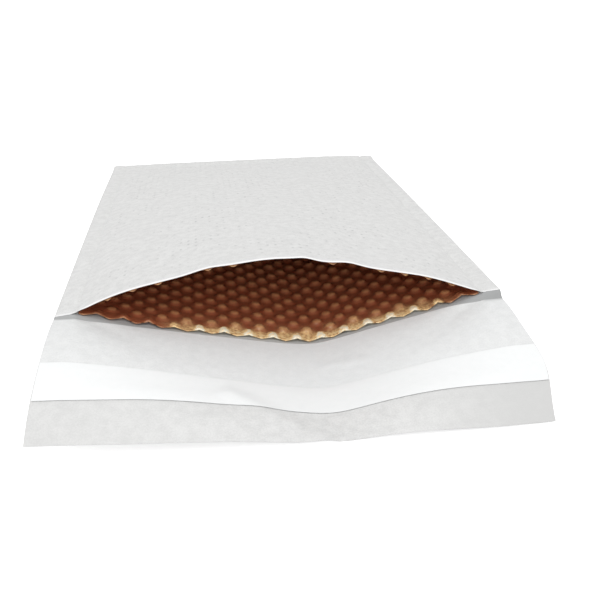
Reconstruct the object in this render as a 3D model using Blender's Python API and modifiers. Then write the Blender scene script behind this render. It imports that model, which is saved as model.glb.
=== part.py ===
"""Padded mailing envelope, lying on its back with its mouth open and its flap laid forward.

One plastic web is folded once at the closed end: it makes the front panel, the back
panel and the flap. Inside it lies a lining of bubble film, folded the same way, with its
bubbles facing the contents and its two side margins crushed flat in the side seams. The
flap carries a strip of glue under a peel-off paper liner.

Units are metres. +Z is up, +Y runs from the mouth to the closed end, and the origin is on
the table, under the middle of the whole envelope.

Every surface is a flat grid that is laid on the folded web. A place on the web is given by
u, the distance from its middle line, and s, the distance along it from the free edge of
the front panel, over the fold and along the back panel to the end of the flap.
"""
import math
from functools import lru_cache

import bmesh
import bpy

# The envelope's outline, laid flat
ENVELOPE_WIDTH = 0.216
ENVELOPE_LENGTH = 0.305
FLAP_LENGTH = 0.081
SEAM_MARGIN = 0.010

# Films and papers
SHEET = 0.00025
CLEARANCE = 0.0003
LINING_FILM = 0.0004
LINING_SHARE = 0.6
SEAM_HALF = 0.00085
CUSHION = 0.0042
CUSHION_RAMP = 0.033

# Bubbles: rows across the envelope, every other row moved by half a pitch
BUBBLE_PITCH_U = 0.0119
BUBBLE_PITCH_S = 0.0126
BUBBLE_RADIUS = 0.0042
BUBBLE_HEIGHT = 0.0031
CROWN_CLEARANCE = 0.00015
LINING_SETBACK = 0.001
LINING_LIP_SETBACK = 0.0025
LINING_SIDE_SETBACK = 0.0005
CRUSHED_EDGE = 0.002
ROUND_ROWS_BACK = 7
ROUND_ROWS_FRONT = 3

# Glue strip and its liner, measured along the flap from the mouth
LINER_START = 0.0437
LINER_END = 0.0610
LINER = 0.00012
LINER_SIDE_SETBACK = 0.0005
GLUE = 0.00015
GLUE_INSET = 0.0015
GLUE_SIDE_INSET = 0.006
STRIP_LAST_COLUMN = 0.003

# How the envelope is open: heights over the table at the mouth
SEAM_HEIGHT_LEFT = 0.02321
SEAM_HEIGHT_RIGHT = 0.02195
SEAM_DIP = 0.0011
SEAM_DIP_REACH = 0.020
CORNER_DROP_LEFT = 0.0024
CORNER_DROP_RIGHT = 0.0
LIP_RISE = 0.01706
LIP_PEAK_U = -0.00265
LIP_ROUNDING_LEFT = 0.23
LIP_ROUNDING_RIGHT = 0.09
TROUGH_U = 0.01306
TROUGH_ROUNDING = 0.09
TROUGH_FULLNESS = 0.35
REST_BAND = 0.016
NARROWING = 0.56

# How the flap hangs from the mouth to its free edge
FLAP_FADE = 0.040
FLAP_FULLNESS = 2.34
FLAP_FULLNESS_POWER = 2.73
CREASE_LENGTH = 0.0045
CREASE_DROP_LEFT = 0.002
CREASE_DROP_RIGHT = 0.003
FLAP_LIFT_LEFT = 0.02272
FLAP_LIFT_RIGHT = 0.00931
FLAP_SAG_LEFT = 0.05052
FLAP_SAG_RIGHT = 0.04396
FLAP_EASE_LEFT = 0.01222
FLAP_EASE_RIGHT = 0.01541
FLAP_TOUCH = 0.001
FLAP_DRAWN_IN = 0.0374
ARC_STEP = 0.001

# Lines of the grids, as counts along the web, and the tolerances of their places
PANEL_ROWS = 4
LINING_ROWS = 3
CREASE_ROWS = 4
FLAP_ROWS = 11
STRIP_ROWS = 3
PEAK_COLUMN = 3
TURN_SPACING = (0.0, 0.08, 0.19, 0.36, 0.62, 1.0)
GRID_HALF = 1.0
TINY = 1e-6
MERGE_DISTANCE = 2e-6

HALF_WIDTH = ENVELOPE_WIDTH / 2
SEAM_LINE = HALF_WIDTH - SEAM_MARGIN
LINING_DEPTH = SHEET + CLEARANCE
EAR_OVERHANG = (math.pi / 2 - 1) * SEAM_HALF
HALF_WEB = ENVELOPE_LENGTH + EAR_OVERHANG
WEB_TO_MOUTH = 2 * HALF_WEB
SLOPE_LENGTH = ENVELOPE_LENGTH - REST_BAND
COLUMN_STEP = BUBBLE_PITCH_U / 2
ROW_STEP = BUBBLE_PITCH_S / 2
QUARTER_TURN = math.pi / 2


def smooth(x):
    """Smooth step from 0 to 1."""
    x = min(max(x, 0.0), 1.0)
    return x * x * (3 - 2 * x)


def across(u, left, right):
    """Value between the left and the right edge of the envelope."""
    return left + (right - left) * (u + HALF_WIDTH) / ENVELOPE_WIDTH


def from_centre(u, centre):
    """Distance from a line along the envelope, 1 at either seam line."""
    side = SEAM_LINE + centre if u < centre else SEAM_LINE - centre
    return min(abs(u - centre) / side, 1.0)


def rounded(r, rounding):
    """A straight ramp from 0 to 1 whose start is rounded."""
    top = math.sqrt(1 + rounding * rounding) - rounding
    return (math.sqrt(r * r + rounding * rounding) - rounding) / top


def half_thickness(u):
    """Half of the padded thickness: thin in the seams, full in the middle."""
    inwards = min(max((SEAM_LINE - abs(u)) / CUSHION_RAMP, 0.0), 1.0)
    return SEAM_HALF + (CUSHION - SEAM_HALF) * math.sin(QUARTER_TURN * inwards)


def opened(t):
    """1 at the mouth, falling straight to 0 where the envelope lies flat."""
    return min(max(1 - t / SLOPE_LENGTH, 0.0), 1.0)


def seam_dip(u):
    """Drop of the mouth's corners, where the panels are pulled apart."""
    outwards = (abs(u) - SEAM_LINE) / SEAM_MARGIN
    if outwards > 0:
        corner = CORNER_DROP_LEFT if u < 0 else CORNER_DROP_RIGHT
        return SEAM_DIP + (corner - SEAM_DIP) * outwards
    return SEAM_DIP * max(1 + outwards * SEAM_MARGIN / SEAM_DIP_REACH, 0.0) ** 2


def seam_height(u, t):
    """Height of the seams' middle layer over the table."""
    at_mouth = across(u, SEAM_HEIGHT_LEFT, SEAM_HEIGHT_RIGHT) - seam_dip(u)
    return CUSHION + (at_mouth - CUSHION) * opened(t)


def trough(u, fullness):
    """Cross-section of the hanging back panel: 0 in its trough, 1 at the seams."""
    r = rounded(from_centre(u, TROUGH_U), TROUGH_ROUNDING)
    return math.sin(QUARTER_TURN * min(r * fullness, 1)) / math.sin(QUARTER_TURN * min(fullness, 1))


def back_height(u, t):
    """Height of the back panel's outer face."""
    return max(seam_height(u, t) - half_thickness(u), 0.0) * trough(u, TROUGH_FULLNESS)


def lip_arch(u):
    """Rise of the front panel's free edge over the seams."""
    rounding = LIP_ROUNDING_LEFT if u < LIP_PEAK_U else LIP_ROUNDING_RIGHT
    return LIP_RISE * (1 - rounded(from_centre(u, LIP_PEAK_U), rounding))


def front_height(u, t):
    """Height of the front panel's outer face."""
    return seam_height(u, t) + half_thickness(u) + lip_arch(u) * opened(t)


def drawn_in(u, rise):
    """Place across once the sagging panel has pulled its sides in."""
    return u * (1 - NARROWING * (rise / SEAM_LINE) ** 2)


def along(height_at, u, t):
    """Place along Y of a straight sloping panel, so its length stays true."""
    slope = (height_at(u, 0.0) - height_at(u, SLOPE_LENGTH)) / SLOPE_LENGTH
    return ENVELOPE_LENGTH - (ENVELOPE_LENGTH - t) * math.sqrt(1 - slope * slope)


def turn_radius(u):
    """Half height of the fold at the closed end."""
    return (front_height(u, ENVELOPE_LENGTH) - back_height(u, ENVELOPE_LENGTH)) / 2


def turn_start(u):
    """Length of the flat panel before the fold, so that the web keeps its length."""
    return HALF_WEB - QUARTER_TURN * turn_radius(u)


def flap_edge(u, q):
    """Height that the flap would have at the seams, q from the mouth."""
    share = q / FLAP_LENGTH
    lift = across(u, FLAP_LIFT_LEFT, FLAP_LIFT_RIGHT) * share
    sag = across(u, FLAP_SAG_LEFT, FLAP_SAG_RIGHT) * share ** 2
    ease = across(u, FLAP_EASE_LEFT, FLAP_EASE_RIGHT) * share ** 3
    padded = half_thickness(u) * (1 - smooth(q / FLAP_FADE))
    crease_drop = across(u, CREASE_DROP_LEFT, CREASE_DROP_RIGHT)
    fall = (crease_drop - seam_dip(u)) * smooth(q / CREASE_LENGTH)
    level = seam_height(u, 0.0) - padded - fall + lift - sag + ease
    return (level + math.sqrt(level * level + FLAP_TOUCH * FLAP_TOUCH)) / 2


def flap_height(u, q):
    """Height of the flap's outer face, q from the mouth."""
    grown = (q / FLAP_LENGTH) ** FLAP_FULLNESS_POWER
    fullness = TROUGH_FULLNESS + (FLAP_FULLNESS - TROUGH_FULLNESS) * grown
    return flap_edge(u, q) * trough(u, fullness)


@lru_cache(maxsize=None)
def flap_reach(u, steps):
    """Distance that the flap covers along Y in a number of arc steps."""
    if steps == 0:
        return 0.0
    q = steps * ARC_STEP
    slope = (flap_height(u, q) - flap_height(u, q - ARC_STEP)) / ARC_STEP
    return flap_reach(u, steps - 1) + ARC_STEP * math.sqrt(max(1 - slope * slope, 0.0))


def flap_along(u, q):
    """Distance that the flap covers along Y at q from the mouth."""
    steps = int(q / ARC_STEP + TINY)
    part = q / ARC_STEP - steps
    here = flap_reach(u, steps)
    if part < TINY:
        return here
    return here + part * (flap_reach(u, steps + 1) - here)


def web_point(u, s, depth):
    """Point at u across and s along the web, depth inside its outer face."""
    if s > WEB_TO_MOUTH:
        q = s - WEB_TO_MOUTH
        drop = flap_edge(u, q) - flap_edge(u, 0.0)
        x = drawn_in(u, max(seam_height(u, 0.0) - CUSHION + drop, 0.0))
        x -= u * FLAP_DRAWN_IN * max(u / HALF_WIDTH, 0.0) * (q / FLAP_LENGTH) ** 2
        return x, along(back_height, u, 0.0) - flap_along(u, q), flap_height(u, q) + depth
    start = turn_start(u)
    if s < start:
        x = drawn_in(u, seam_height(u, s) - CUSHION)
        return x, along(front_height, u, s), front_height(u, s) - depth
    if s > WEB_TO_MOUTH - start:
        t = WEB_TO_MOUTH - s
        x = drawn_in(u, seam_height(u, t) - CUSHION)
        return x, along(back_height, u, t), back_height(u, t) + depth
    turn = math.pi * (s - start) / (WEB_TO_MOUTH - 2 * start)
    radius = turn_radius(u)
    middle = back_height(u, ENVELOPE_LENGTH) + radius
    inner = radius - depth
    return u, start + inner * math.sin(turn), middle + inner * math.cos(turn)


# The origin is under the middle of the envelope as it lies
ORIGIN_Y = (ENVELOPE_LENGTH - max(flap_along(u, FLAP_LENGTH) for u in (-HALF_WIDTH, 0.0))) / 2


def film_depth(u):
    """Depth of the lining's inner film between its bubbles."""
    if abs(u) >= SEAM_LINE - TINY:
        return SEAM_HALF
    room = turn_radius(u) - LINING_DEPTH
    return LINING_DEPTH + min(LINING_FILM, room * LINING_SHARE)


def bubble_height(u, t):
    """Height of the nearest bubble over the film."""
    if t < LINING_SETBACK + TINY or abs(u) >= SEAM_LINE - TINY:
        return 0.0
    row = round((t - FIRST_ROW) / ROW_STEP)
    if row > LAST_ROW + 0.5:
        return 0.0
    best = 0.0
    for j in (row - 1, row, row + 1):
        if not 0 <= j <= LAST_ROW:
            continue
        shift = COLUMN_STEP if j % 2 else 0.0
        i = round((u - shift) / BUBBLE_PITCH_U)
        du = u - shift - i * BUBBLE_PITCH_U
        dt = t - FIRST_ROW - j * ROW_STEP
        ring = (du * du + dt * dt) / (BUBBLE_RADIUS * BUBBLE_RADIUS)
        best = max(best, math.sqrt(max(1 - ring, 0.0)))
    room = turn_radius(u) - film_depth(u) - CROWN_CLEARANCE
    return best * max(min(BUBBLE_HEIGHT, room), 0.0)


# Grid lines across and along the web
TURN_LENGTH = QUARTER_TURN * CUSHION
FIRST_ROW = LINING_SETBACK + ROW_STEP / 2
LAST_ROW = int((HALF_WEB - TURN_LENGTH - BUBBLE_RADIUS - FIRST_ROW) / ROW_STEP)
COLUMNS = int((SEAM_LINE - CRUSHED_EDGE) / COLUMN_STEP)
RAMP_COLUMN = int((SEAM_LINE - CUSHION_RAMP) / COLUMN_STEP)


def mirrored(values):
    """Sorted lines on both sides of the middle."""
    return sorted({round(side * v, 7) for v in values for side in (-1, 1)})


def panel_columns():
    """Lines across the envelope: closer at its middle and near its padded sides."""
    close = [i for i in range(COLUMNS + 1) if i <= PEAK_COLUMN or i >= RAMP_COLUMN or i % 2]
    return [i * COLUMN_STEP for i in close] + [SEAM_LINE]


def turn_rows():
    """Lines along the web, round the fold at the closed end."""
    return [HALF_WEB + v * TURN_LENGTH for v in mirrored(TURN_SPACING)]


def slope_rows(start, count):
    """Lines along one panel, from its free edge to where it lies flat."""
    return [start + (SLOPE_LENGTH - start) * k / count for k in range(count + 1)]


def both_panels(rows):
    """The same lines on the front and on the back panel."""
    return rows + turn_rows() + [WEB_TO_MOUTH - t for t in reversed(rows)]


def grid(us, ss):
    """A flat grid with its lines at the given places."""
    bm = bmesh.new()
    columns, rows = len(us) - 1, len(ss) - 1
    bmesh.ops.create_grid(bm, x_segments=columns, y_segments=rows, size=GRID_HALF)
    for vert in bm.verts:
        i = round((vert.co.x / GRID_HALF + 1) / 2 * columns)
        j = round((vert.co.y / GRID_HALF + 1) / 2 * rows)
        vert.co = (us[i], ss[j], 0.0)
    return bm


def set_back_lip(bm):
    """Move the lining's edge back from the front panel's, between the seams."""
    for vert in bm.verts:
        if vert.co.y < LINING_SETBACK + TINY and abs(vert.co.x) < SEAM_LINE - TINY:
            vert.co.y = LINING_LIP_SETBACK


def lay_on_web(bm, depth_at):
    """Lay a flat grid on the folded web."""
    for vert in bm.verts:
        u, s = vert.co.x, vert.co.y
        x, y, z = web_point(u, s, depth_at(u, s))
        vert.co = (x, y - ORIGIN_Y, z)


def lining_outside():
    """Outer face of the lining, closed along its sides and open at the mouth."""
    edge = HALF_WIDTH - LINING_SIDE_SETBACK
    us = mirrored(panel_columns() + [edge - CRUSHED_EDGE, edge])
    bm = grid(us, both_panels(slope_rows(LINING_SETBACK, LINING_ROWS)))
    set_back_lip(bm)

    def depth_at(u, s):
        return SEAM_HALF if abs(u) > edge - TINY else LINING_DEPTH

    lay_on_web(bm, depth_at)
    return bm


def lining_inside():
    """Inner face of the lining, with a bubble at every other crossing of its grid."""
    us = mirrored([i * COLUMN_STEP for i in range(COLUMNS + 1)] + [SEAM_LINE])
    rows = [FIRST_ROW + j * ROW_STEP for j in range(LAST_ROW + 1)]
    bm = grid(us, both_panels([LINING_SETBACK] + rows))
    set_back_lip(bm)
    inner = COLUMNS * COLUMN_STEP + TINY
    front_end = rows[ROUND_ROWS_FRONT - 1] + TINY
    back_end = rows[ROUND_ROWS_BACK - 1] + TINY

    def near_mouth(vert):
        s = vert.co.y
        return abs(vert.co.x) < inner and (s < front_end or WEB_TO_MOUTH - s < back_end)

    close = [e for e in bm.edges if all(near_mouth(v) for v in e.verts)]
    bmesh.ops.subdivide_edges(bm, edges=close, cuts=1, use_grid_fill=True)

    def rise_at(u, s):
        if s < LINING_LIP_SETBACK + TINY:
            return 0.0
        return bubble_height(u, min(s, WEB_TO_MOUTH - s))

    def depth_at(u, s):
        return film_depth(u) + rise_at(u, s)

    # Each square is parted along the valley between its bubbles
    for face in list(bm.faces):
        if len(face.verts) != 4:
            continue
        a, b, c, d = face.verts
        h = [rise_at(v.co.x, v.co.y) for v in (a, b, c, d)]
        ac = (round(abs(h[0] - h[2]), 6), h[0] + h[2])
        bd = (round(abs(h[1] - h[3]), 6), h[1] + h[3])
        bmesh.utils.face_split(face, *((a, c) if ac < bd else (b, d)))
    lay_on_web(bm, depth_at)
    return bm


def add_piece(collection, name, bm, material):
    """Make a named object from a mesh and give it its material."""
    mesh = bpy.data.meshes.new(name)
    bm.to_mesh(mesh)
    bm.free()
    mesh.shade_smooth()
    mesh.materials.append(material)
    piece = bpy.data.objects.new(name, mesh)
    collection.objects.link(piece)
    return piece


def thicken(piece, thickness):
    """Give an open surface its thickness, on the side away from its normals."""
    solid = piece.modifiers.new("Thickness", "SOLIDIFY")
    solid.thickness = thickness
    solid.offset = -1.0
    solid.use_even_offset = True
    solid.use_rim = True


def make_material(name, colour, roughness, transmission=0.0):
    """A plain material for one piece."""
    material = bpy.data.materials.new(name)
    material.use_nodes = True
    shader = material.node_tree.nodes["Principled BSDF"]
    shader.inputs["Base Color"].default_value = (*colour, 1.0)
    shader.inputs["Roughness"].default_value = roughness
    shader.inputs["Metallic"].default_value = 0.0
    shader.inputs["Transmission Weight"].default_value = transmission
    return material


def build_outer_sheet(collection):
    """The white web: front panel, fold, back panel and flap in one piece."""
    us = mirrored(panel_columns() + [SEAM_LINE + SEAM_MARGIN / 2, HALF_WIDTH])
    crease_step = CREASE_LENGTH / CREASE_ROWS
    crease_rows = [WEB_TO_MOUTH + crease_step * k for k in range(1, CREASE_ROWS + 1)]
    flap_step = (FLAP_LENGTH - CREASE_LENGTH) / FLAP_ROWS
    flap_rows = [crease_rows[-1] + flap_step * k for k in range(1, FLAP_ROWS + 1)]
    bm = grid(us, both_panels(slope_rows(0.0, PANEL_ROWS)) + crease_rows + flap_rows)
    lay_on_web(bm, lambda u, s: 0.0)
    white = make_material("white_film", (0.76, 0.76, 0.755), 0.55)
    thicken(add_piece(collection, "outer_sheet", bm, white), SHEET)


def build_bubble_lining(collection):
    """The folded bubble film: an outer face and a bubbled inner face, joined at the mouth."""
    bm = lining_outside()
    inside = lining_inside()
    inner_face = bpy.data.meshes.new("inner_face")
    inside.to_mesh(inner_face)
    inside.free()
    bm.from_mesh(inner_face)
    bpy.data.meshes.remove(inner_face)
    bmesh.ops.remove_doubles(bm, verts=bm.verts, dist=MERGE_DISTANCE)
    bmesh.ops.dissolve_degenerate(bm, dist=TINY, edges=bm.edges)
    mouth = [e for e in bm.edges if e.is_boundary]
    bmesh.ops.triangle_fill(bm, edges=mouth, use_beauty=True, normal=(0.0, -1.0, 0.0))
    bmesh.ops.recalc_face_normals(bm, faces=bm.faces)
    brown = make_material("brown_film", (0.10, 0.03, 0.016), 0.30, 0.3)
    add_piece(collection, "bubble_lining", bm, brown)


def strip_on_flap(collection, name, reach, start, end, depth, thickness, material):
    """A thin strip on the flap's inner face, from edge to edge of its own width."""
    columns = [u for u in panel_columns() if u < reach - STRIP_LAST_COLUMN]
    us = mirrored(columns + [reach])
    row_step = (end - start) / STRIP_ROWS
    rows = [WEB_TO_MOUTH + start + row_step * k for k in range(STRIP_ROWS + 1)]
    bm = grid(us, rows)
    lay_on_web(bm, lambda u, s: depth)
    thicken(add_piece(collection, name, bm, material), thickness)


def build_flap_strips(collection):
    """The glue strip on the flap, and the liner over it."""
    glue_depth = SHEET + CLEARANCE
    liner_depth = glue_depth + GLUE + CLEARANCE
    glue = make_material("clear_glue", (0.80, 0.78, 0.72), 0.25, 0.4)
    paper = make_material("siliconised_paper", (0.92, 0.93, 0.93), 0.45)
    strip_on_flap(collection, "adhesive_strip", HALF_WIDTH - GLUE_SIDE_INSET,
                  LINER_START + GLUE_INSET, LINER_END - GLUE_INSET, glue_depth, GLUE, glue)
    strip_on_flap(collection, "release_liner", HALF_WIDTH - LINER_SIDE_SETBACK,
                  LINER_START, LINER_END, liner_depth, LINER, paper)


def main():
    """Build the whole envelope."""
    for old in list(bpy.data.objects):
        bpy.data.objects.remove(old, do_unlink=True)
    collection = bpy.data.collections.new("padded_envelope")
    bpy.context.scene.collection.children.link(collection)
    build_outer_sheet(collection)
    build_bubble_lining(collection)
    build_flap_strips(collection)


main()
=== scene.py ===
"""Dress a white padded mailing envelope that lies open, with its flap laid forward.

The envelope is one white plastic film folded at its closed end, a brown bubble film folded
inside it, a strip of glue on the flap and a peel-off paper over the glue. Every piece is a
grid laid on one folded web, so the pieces keep their real lengths and their order.
"""

import logging
import math
from collections.abc import Callable
from dataclasses import dataclass

import bpy
import numpy as np
from mathutils import Matrix, Vector

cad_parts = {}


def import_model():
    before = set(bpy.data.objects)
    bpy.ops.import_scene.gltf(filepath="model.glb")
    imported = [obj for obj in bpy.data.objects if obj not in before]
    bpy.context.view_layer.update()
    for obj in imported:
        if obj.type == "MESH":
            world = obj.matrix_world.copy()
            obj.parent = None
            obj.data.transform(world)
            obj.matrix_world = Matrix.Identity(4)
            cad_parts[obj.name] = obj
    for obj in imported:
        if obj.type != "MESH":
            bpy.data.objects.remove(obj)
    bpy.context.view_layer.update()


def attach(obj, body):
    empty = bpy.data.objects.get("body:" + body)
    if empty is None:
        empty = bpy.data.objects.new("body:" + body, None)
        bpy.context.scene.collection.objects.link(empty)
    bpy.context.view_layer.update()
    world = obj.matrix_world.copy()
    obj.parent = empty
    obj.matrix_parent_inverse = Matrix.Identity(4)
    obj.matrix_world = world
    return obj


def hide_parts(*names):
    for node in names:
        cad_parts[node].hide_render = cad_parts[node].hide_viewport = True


LOG = logging.getLogger("padded_envelope")
IMAGE_SIDE = 600
UV_NAME = "web"
# The UV map is in decimetres and shifted, so that every place across is above 0
UV_SCALE = 10
UV_SHIFT = 2
# Slack for comparing lengths, in metres
TINY = 1e-6


def linear(hex_colour: str) -> tuple[float, float, float, float]:
    """Turn an sRGB hex colour into linear light.

    Args:
        hex_colour: Six hex digits, red first.

    Returns:
        Red, green, blue and an alpha of 1.
    """
    parts = [int(hex_colour[i:i + 2], 16) / 255 for i in (0, 2, 4)]
    light = [c / 12.92 if c <= 0.04045 else ((c + 0.055) / 1.055) ** 2.4 for c in parts]
    return (*light, 1.0)


def smooth(x: np.ndarray) -> np.ndarray:
    """Smooth step from 0 to 1."""
    x = np.clip(x, 0.0, 1.0)
    return x * x * (3 - 2 * x)


def bell(x: np.ndarray, centre: float, width: float) -> np.ndarray:
    """Bell curve of height 1 round a centre."""
    return np.exp(-((x - centre) / width) ** 2)


# The folded web


@dataclass(frozen=True)
class Lattice:
    """The staggered lattice of the bubbles: alternate rows are shifted by half a pitch.

    Rows lie half a pitch apart along the web, and first_row is the first one's distance
    from the mouth. Lengths are in metres.
    """

    pitch_u: float = 0.0119
    pitch_s: float = 0.0126
    first_row: float = 0.00415

    @property
    def row_step(self) -> float:
        """Distance between two rows."""
        return self.pitch_s / 2

    def row(self, t: np.ndarray) -> np.ndarray:
        """Number of the row nearest to a distance from the mouth."""
        return np.round((t - self.first_row) / self.row_step)

    def column(self, u: np.ndarray, row: np.ndarray) -> np.ndarray:
        """Number of the bubble nearest to a place across, in a row."""
        return np.round((u - self.shift(row)) / self.pitch_u)

    def shift(self, row: np.ndarray) -> np.ndarray:
        """Shift of a row across the web."""
        return np.where(row % 2 == 0, self.pitch_u / 2, 0.0)

    def offset(self, u: np.ndarray, t: np.ndarray,
               row: np.ndarray) -> tuple[np.ndarray, np.ndarray]:
        """Distances across and along from the nearest point of a row."""
        du = u - self.shift(row) - self.column(u, row) * self.pitch_u
        return du, t - self.first_row - row * self.row_step

    def ripple(self, u: np.ndarray) -> np.ndarray:
        """Cosine once a pitch across, 1 at the middle line."""
        return np.cos(2 * math.pi * u / self.pitch_u)


@dataclass(frozen=True)
class FoldedWeb:
    """The folded envelope as a surface of u, across, and s, along the web.

    s runs from the free edge of the front panel, round the fold at the closed end and
    along the back panel to the end of the flap. Lengths are in metres. Most pairs are a
    left and a right value. bulge_at is a centre and a width, and hump_left and hump_right
    are a reach from the middle and a width. Each of lip_bells is a centre, a width and a
    height, and each of folds has its two ends, a width and a height.
    """

    width: float = 0.216
    length: float = 0.305
    flap: float = 0.081
    margin: float = 0.010
    seam_half: float = 0.00085
    cushion: float = 0.0042
    ramp: float = 0.033
    seam_left: float = 0.02321
    seam_right: float = 0.02195
    dip: float = 0.0011
    dip_reach: float = 0.020
    corner_left: float = 0.0024
    corner_right: float = 0.0
    lip_rise: float = 0.01706
    lip_peak: float = -0.00265
    lip_round_left: float = 0.23
    lip_round_right: float = 0.09
    lip_bells: tuple[tuple[float, float, float], ...] = (
        (-0.036, 0.009, 0.0010), (0.010, 0.006, 0.0010),
        (0.031, 0.008, 0.0013), (0.085, 0.014, -0.0008))
    trough_u: float = 0.01306
    trough_round: float = 0.09
    trough_full: float = 0.35
    rest_band: float = 0.016
    end_drop: tuple[float, float] = (0.0013, 0.0)
    end_flat: tuple[float, float] = (0.0026, 0.0010)
    end_reach: float = 0.12
    narrowing: float = 0.56
    flap_fade: float = 0.040
    flap_full: float = 2.34
    flap_power: float = 2.73
    crease: float = 0.0045
    crease_fade: float = 0.045
    crease_spread: float = 0.030
    crease_left: float = 0.002
    crease_right: float = 0.003
    flap_lift: tuple[float, float] = (0.02272, 0.00931)
    flap_sag: tuple[float, float] = (0.05052, 0.04396)
    flap_ease: tuple[float, float] = (0.01222, 0.01541)
    folds: tuple[tuple[tuple[float, float], tuple[float, float], float, float], ...] = (
        ((-0.034, 0.050), (0.012, 0.084), 0.0050, 0.0009),
        ((0.012, 0.024), (0.038, 0.027), 0.0030, 0.0004),
        ((-0.050, 0.074), (-0.020, 0.066), 0.0040, 0.0003))
    right_start: float = 0.030
    right_bulge: float = 0.0029
    bulge_at: tuple[float, float] = (0.053, 0.016)
    right_tuck: float = 0.0017
    right_reach: float = 0.0028
    flap_touch: float = 0.001
    flap_drawn_in: float = 0.0374
    arc_step: float = 0.001
    hump_left: tuple[float, float] = (0.078, 0.034)
    hump_right: tuple[float, float] = (0.062, 0.075)
    turn_gather: float = 1.8

    @property
    def half_width(self) -> float:
        """Half of the envelope's width."""
        return self.width / 2

    @property
    def seam_line(self) -> float:
        """Distance of the seams' inner edge from the middle line."""
        return self.half_width - self.margin

    @property
    def half_web(self) -> float:
        """Length of web from the mouth to the middle of the fold."""
        return self.length + (math.pi / 2 - 1) * self.seam_half

    @property
    def mouth(self) -> float:
        """Place along the web where the flap starts."""
        return 2 * self.half_web

    @property
    def origin_y(self) -> float:
        """Distance of the envelope's middle from the mouth, as it lies.

        Returns:
            The distance in metres.
        """
        sides = np.array([-self.half_width, 0.0])
        reach = self.flap_along(sides, np.full((1, 2), self.flap))
        return (self.length - float(reach.max())) / 2

    @property
    def slope_length(self) -> float:
        """Length of the part that slopes, before the flat band at the closed end."""
        return self.length - self.rest_band

    def across(self, u: np.ndarray, left: float, right: float) -> np.ndarray:
        """Value between the left and the right edge of the envelope."""
        return left + (right - left) * (u + self.half_width) / self.width

    def from_centre(self, u: np.ndarray, centre: float) -> np.ndarray:
        """Distance from a line along the envelope, 1 at either seam line."""
        side = np.where(u < centre, self.seam_line + centre, self.seam_line - centre)
        return np.minimum(np.abs(u - centre) / side, 1.0)

    @staticmethod
    def rounded(r: np.ndarray, rounding: np.ndarray | float) -> np.ndarray:
        """Straight ramp from 0 to 1 whose start is rounded: (sqrt(r2 + e2) - e) / top."""
        top = np.sqrt(1 + rounding * rounding) - rounding
        return (np.sqrt(r * r + rounding * rounding) - rounding) / top

    def half_thickness(self, u: np.ndarray) -> np.ndarray:
        """Half of the padded thickness: a quarter sine from the seams to the middle."""
        inwards = np.clip((self.seam_line - np.abs(u)) / self.ramp, 0.0, 1.0)
        return self.seam_half + (self.cushion - self.seam_half) * np.sin(math.pi / 2 * inwards)

    def opened(self, t: np.ndarray) -> np.ndarray:
        """1 at the mouth, falling straight to 0 where the envelope lies flat."""
        return np.clip(1 - t / self.slope_length, 0.0, 1.0)

    def near_end(self, t: np.ndarray) -> np.ndarray:
        """0 over most of the envelope, rising smoothly to 1 at the closed end."""
        return smooth((t - self.length) / self.end_reach + 1)

    def seam_dip(self, u: np.ndarray) -> np.ndarray:
        """Drop of the seams at the mouth: a parabola inside them, a ramp along the margin.

        Args:
            u: Places across.

        Returns:
            Drops in metres.
        """
        outwards = (np.abs(u) - self.seam_line) / self.margin
        corner = np.where(u < 0, self.corner_left, self.corner_right)
        inside = self.dip * np.clip(1 + outwards * self.margin / self.dip_reach, 0.0, 1.0) ** 2
        return np.where(outwards > 0, self.dip + (corner - self.dip) * outwards, inside)

    def seam_height(self, u: np.ndarray, t: np.ndarray) -> np.ndarray:
        """Height of the seams' middle layer over the table.

        Args:
            u: Places across.
            t: Distances from the mouth.

        Returns:
            Heights in metres.
        """
        at_mouth = self.across(u, self.seam_left, self.seam_right) - self.seam_dip(u)
        height = self.cushion + (at_mouth - self.cushion) * self.opened(t)
        return height - self.across(u, *self.end_drop) * self.near_end(t)

    def trough(self, u: np.ndarray, fullness: np.ndarray | float) -> np.ndarray:
        """Cross-section of the hanging panel: a sine of the rounded ramp, 1 at the seams.

        Args:
            u: Places across.
            fullness: Share of the quarter sine that is used; past 1 the sides are level.

        Returns:
            Shares of the seams' height.
        """
        r = self.rounded(self.from_centre(u, self.trough_u), self.trough_round)
        quarter = math.pi / 2
        top = np.sin(quarter * np.minimum(fullness, 1.0))
        return np.sin(quarter * np.minimum(r * fullness, 1.0)) / top

    def back_height(self, u: np.ndarray, t: np.ndarray) -> np.ndarray:
        """Height of the back panel's outer face."""
        lift = np.maximum(self.seam_height(u, t) - self.half_thickness(u), 0.0)
        return lift * self.trough(u, self.trough_full)

    def lip_arch(self, u: np.ndarray) -> np.ndarray:
        """Rise of the front panel's free edge over the seams, a rounded tent."""
        rounding = np.where(u < self.lip_peak, self.lip_round_left, self.lip_round_right)
        return self.lip_rise * (1 - self.rounded(self.from_centre(u, self.lip_peak), rounding))

    def lip_wave(self, u: np.ndarray) -> np.ndarray:
        """Small unevenness of the front panel's free edge: low bells along it."""
        return sum(height * bell(u, centre, width) for centre, width, height in self.lip_bells)

    def front_height(self, u: np.ndarray, t: np.ndarray) -> np.ndarray:
        """Height of the front panel's outer face.

        Args:
            u: Places across.
            t: Distances from the mouth.

        Returns:
            Heights in metres.
        """
        rise = (self.lip_arch(u) + self.lip_wave(u)) * self.opened(t)
        half = self.half_thickness(u)
        padding = (half - self.seam_half) / (self.cushion - self.seam_half)
        flatter = self.across(u, *self.end_flat) * padding * self.near_end(t)
        return self.seam_height(u, t) + half + rise - flatter

    def drawn_in(self, u: np.ndarray, rise: np.ndarray) -> np.ndarray:
        """Place across once the sagging panel has pulled its sides in."""
        return u * (1 - self.narrowing * (rise / self.seam_line) ** 2)

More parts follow.
